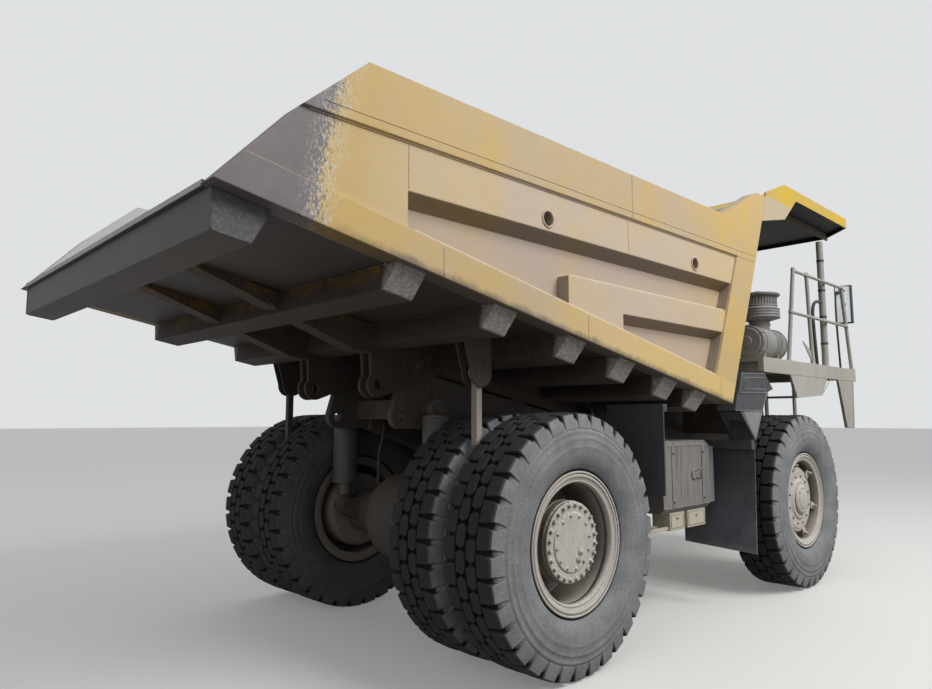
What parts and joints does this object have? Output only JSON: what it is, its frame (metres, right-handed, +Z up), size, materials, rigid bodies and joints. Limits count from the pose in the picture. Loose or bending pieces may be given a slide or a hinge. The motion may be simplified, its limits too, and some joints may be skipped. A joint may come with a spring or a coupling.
{
  "type": "rigid dump truck",
  "caption": "Rigid two-axle haul truck: rock body with canopy that tips on telescopic hoists, steered front wheels, twin rear wheels, hinged cab door.",
  "frame": {"origin": "on the ground, under the middle of the truck's length and width", "axes": "+X forward, +Y left, +Z up"},
  "size_m": [8.485, 3.726, 4.2199],
  "materials": {
    "body_paint": "yellow enamel, dusty and scuffed",
    "canopy_paint": "yellow enamel, brighter where less worn",
    "floor_steel": "bare steel worn by rock",
    "cab_paint": "yellow enamel",
    "deck_paint": "paint under pale dust",
    "chassis_paint": "dark paint under mud",
    "wheel_paint": "paint under dried mud",
    "tyre_rubber": "worn rubber, dusty sidewalls",
    "flap_rubber": "black rubber sheet",
    "cab_plastic": "grained plastic and vinyl",
    "cleaner_plastic": "dark housing under dust",
    "window_glass": "tinted safety glass",
    "rod_chrome": "hard chrome"
  },
  "bodies": {
    "chassis": {"frame_rails": "chassis_paint", "frame_crossmembers": "chassis_paint", "rear_axle": "chassis_paint", "rear_suspension": "chassis_paint", "front_struts": "chassis_paint", "power_train": "chassis_paint", "hood": "cab_paint", "radiator_grille": "cab_paint", "bumper": "cab_paint", "decks": "deck_paint", "handrail_right": "deck_paint", "handrail_left": "deck_paint", "ladders": "deck_paint", "mirrors": "cleaner_plastic", "cab_shell": "cab_paint", "cab_glass": "window_glass", "cab_interior": "cab_plastic", "air_cleaner": "cleaner_plastic", "hydraulic_tank": "deck_paint", "fuel_tank": "deck_paint", "front_mudflaps": "flap_rubber", "rear_flaps": "flap_rubber"},
    "bed": {"bed_floor": "floor_steel", "bed_side_right": "body_paint", "bed_side_left": "body_paint", "bed_front_wall": "body_paint", "bed_canopy": "canopy_paint", "bed_tail_beam": "chassis_paint", "bed_underframe": "chassis_paint"},
    "ejector_right": {"ejector_right": "chassis_paint"},
    "ejector_left": {"ejector_left": "chassis_paint"},
    "hoist_barrels": {"hoist_barrels": "chassis_paint"},
    "hoist_stages": {"hoist_stages": "chassis_paint"},
    "hoist_rods": {"hoist_rods": "rod_chrome"},
    "knuckle_left": {"knuckle_left": "chassis_paint"},
    "knuckle_right": {"knuckle_right": "chassis_paint"},
    "tie_rod": {"tie_rod": "chassis_paint"},
    "cab_door": {"cab_door": "cab_paint"},
    "wheels_rear_left": {"tyres_rear_left": "tyre_rubber", "wheel_rear_left": "wheel_paint"},
    "wheels_rear_right": {"tyres_rear_right": "tyre_rubber", "wheel_rear_right": "wheel_paint"},
    "front_wheel_left": {"tyre_front_left": "tyre_rubber", "wheel_front_left": "wheel_paint"},
    "front_wheel_right": {"tyre_front_right": "tyre_rubber", "wheel_front_right": "wheel_paint"}
  },
  "joints": [
    {"name": "bed_tilt", "type": "hinge", "parent": "chassis", "child": "bed", "pos_m": [-1.9675, 0, 2.14], "axis": [0, -1, 0], "range_deg": [0, 48]},
    {"name": "hoist_swing", "type": "hinge", "parent": "chassis", "child": "hoist_barrels", "pos_m": [-0.5875, 0, 0.8], "axis": [0, -1, 0], "range_deg": [0, 29]},
    {"name": "hoist_stage_slide", "type": "slide", "parent": "hoist_barrels", "child": "hoist_stages", "axis": [0.5585, 0, 0.8295], "range_m": [0, 0.7213]},
    {"name": "hoist_rod_slide", "type": "slide", "parent": "hoist_stages", "child": "hoist_rods", "axis": [0.5585, 0, 0.8295], "range_m": [0, 0.7213]},
    {"name": "ejector_swing_right", "type": "hinge", "parent": "bed", "child": "ejector_right", "pos_m": [-2.0875, -1.274, 2.04], "axis": [0, -1, 0], "range_deg": [-50, 10]},
    {"name": "ejector_swing_left", "type": "hinge", "parent": "bed", "child": "ejector_left", "pos_m": [-2.0875, 1.274, 2.04], "axis": [0, -1, 0], "range_deg": [-50, 10]},
    {"name": "steer_left", "type": "hinge", "parent": "chassis", "child": "knuckle_left", "pos_m": [2.2025, 1.2, 0.885], "axis": [0, 0, 1], "range_deg": [-38, 38]},
    {"name": "steer_right", "type": "hinge", "parent": "chassis", "child": "knuckle_right", "pos_m": [2.2025, -1.2, 0.885], "axis": [0, 0, 1], "range_deg": [-38, 38]},
    {"name": "tie_rod_swing", "type": "hinge", "parent": "knuckle_left", "child": "tie_rod", "pos_m": [1.8525, 1.2, 0.795], "axis": [0, 0, 1], "range_deg": [-38, 38]},
    {"name": "wheel_spin_front_left", "type": "hinge", "parent": "knuckle_left", "child": "front_wheel_left", "pos_m": [2.2025, 1.613, 0.885], "axis": [0, 1, 0], "continuous": true},
    {"name": "wheel_spin_front_right", "type": "hinge", "parent": "knuckle_right", "child": "front_wheel_right", "pos_m": [2.2025, -1.613, 0.885], "axis": [0, 1, 0], "continuous": true},
    {"name": "wheel_spin_rear_left", "type": "hinge", "parent": "chassis", "child": "wheels_rear_left", "pos_m": [-1.5875, 1.275, 0.885], "axis": [0, 1, 0], "continuous": true},
    {"name": "wheel_spin_rear_right", "type": "hinge", "parent": "chassis", "child": "wheels_rear_right", "pos_m": [-1.5875, -1.275, 0.885], "axis": [0, 1, 0], "continuous": true},
    {"name": "cab_door_swing", "type": "hinge", "parent": "chassis", "child": "cab_door", "pos_m": [2.6045, 1.1583, 3], "axis": [0, 0, 1], "range_deg": [0, 85]}
  ],
  "couplings": [
    {"joint": "hoist_swing", "follows": "bed_tilt", "ratio": 0.60311},
    {"joint": "hoist_stage_slide", "follows": "bed_tilt", "m_per_rad": 0.86043},
    {"joint": "hoist_rod_slide", "follows": "bed_tilt", "m_per_rad": 0.86043},
    {"joint": "steer_right", "follows": "steer_left", "ratio": 1},
    {"joint": "tie_rod_swing", "follows": "steer_left", "ratio": -1}
  ]
}
